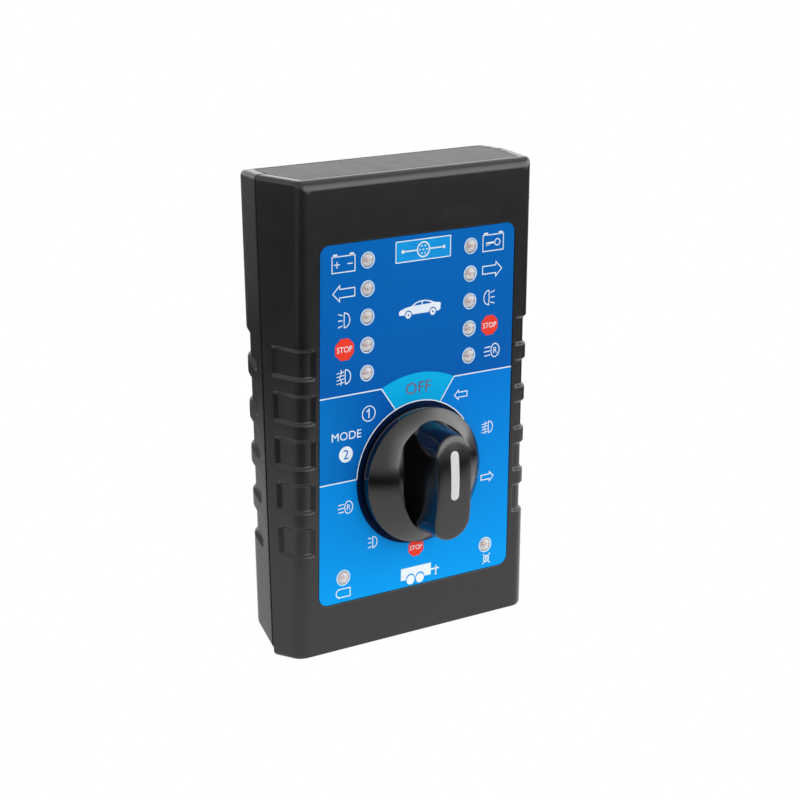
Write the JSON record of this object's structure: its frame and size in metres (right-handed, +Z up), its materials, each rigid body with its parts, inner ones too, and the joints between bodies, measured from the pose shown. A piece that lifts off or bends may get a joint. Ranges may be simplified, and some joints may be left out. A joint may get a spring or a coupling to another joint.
{
  "type": "trailer electrical tester",
  "caption": "Hand-held box with a blue faced panel of clear lamps, a large bar-grip rotary selector, grip pockets along both sides and a plain end panel.",
  "frame": {"origin": "bottom centre of the whole object's box: the unit stands on its flat bottom end at z = 0", "axes": "+X right as seen from the front, +Y from the front face into the unit, +Z up the front face; the front face is upright and the back leans back 3.5 degrees"},
  "size_m": [0.092, 0.049, 0.1435],
  "materials": {
    "case_abs": "satin moulded ABS, fine grain",
    "label_print": "printed polycarbonate overlay, satin gloss, blue",
    "knob_gloss": "polished black",
    "pointer_white": "smooth off-white",
    "led_clear": "clear moulded epoxy",
    "steel": "zinc plated, satin",
    "brass": "turned, nickel-free",
    "phenolic": "moulded phenolic",
    "board_green": "solder mask",
    "chip_black": "moulded epoxy",
    "capacitor_sleeve": "shrunk sleeve",
    "relay_cream": "moulded",
    "tin_plate": "tin plated steel",
    "socket_black": "glass filled nylon",
    "ribbon_grey": "PVC flat cable",
    "battery_can": "printed can, no lettering",
    "foam": "closed-cell foam",
    "lead_red": "PVC",
    "lead_black": "PVC"
  },
  "bodies": {
    "case": {"front_shell": "case_abs", "back_shell": "case_abs", "top_end_panel": "case_abs", "label_overlay": "label_print", "switch_bushing": "brass", "switch_nut": "steel", "switch_washer": "steel", "switch_body": "phenolic", "terminal_plate": "phenolic", "main_board": "board_green", "controller_chip": "chip_black", "bus_driver_chip": "chip_black", "voltage_regulator": "chip_black", "storage_capacitor": "capacitor_sleeve", "resistor_network_1": "chip_black", "resistor_network_2": "chip_black", "socket_shell": "tin_plate", "socket_insulator": "socket_black", "jackscrew_1": "steel", "jackscrew_2": "steel", "ribbon_cable": "ribbon_grey", "ribbon_header": "socket_black", "battery": "battery_can", "battery_snap": "socket_black", "battery_tray": "case_abs", "battery_lead_red": "lead_red", "battery_lead_black": "lead_black", "led_1": "led_clear", "led_2": "led_clear", "led_3": "led_clear", "led_4": "led_clear", "led_5": "led_clear", "led_6": "led_clear", "led_7": "led_clear", "led_8": "led_clear", "led_9": "led_clear", "led_10": "led_clear", "led_11": "led_clear", "led_12": "led_clear", "board_screw_1": "steel", "case_screw_1": "steel", "board_screw_2": "steel", "case_screw_2": "steel", "board_screw_3": "steel", "case_screw_3": "steel", "board_screw_4": "steel", "case_screw_4": "steel", "relay_1": "relay_cream", "relay_2": "relay_cream", "relay_3": "relay_cream"},
    "selector": {"selector_knob": "knob_gloss", "pointer_inlay": "pointer_white", "knob_grub_screw": "steel", "switch_shaft": "steel", "switch_rotor": "phenolic", "contact_wiper": "brass", "index_ball": "steel", "index_spring": "steel"},
    "battery_door": {"battery_cover": "case_abs", "battery_pad": "foam"}
  },
  "joints": [
    {"name": "selector_turn", "type": "hinge", "parent": "case", "child": "selector", "pos_m": [0, -0.00548, 0.0517], "axis": [0, 1, 0], "range_deg": [-72, 252]},
    {"name": "battery_cover_swing", "type": "hinge", "parent": "case", "child": "battery_door", "pos_m": [0, 0.02047, 0.07616], "axis": [-1, 0, 0], "range_deg": [0, 100]}
  ]
}
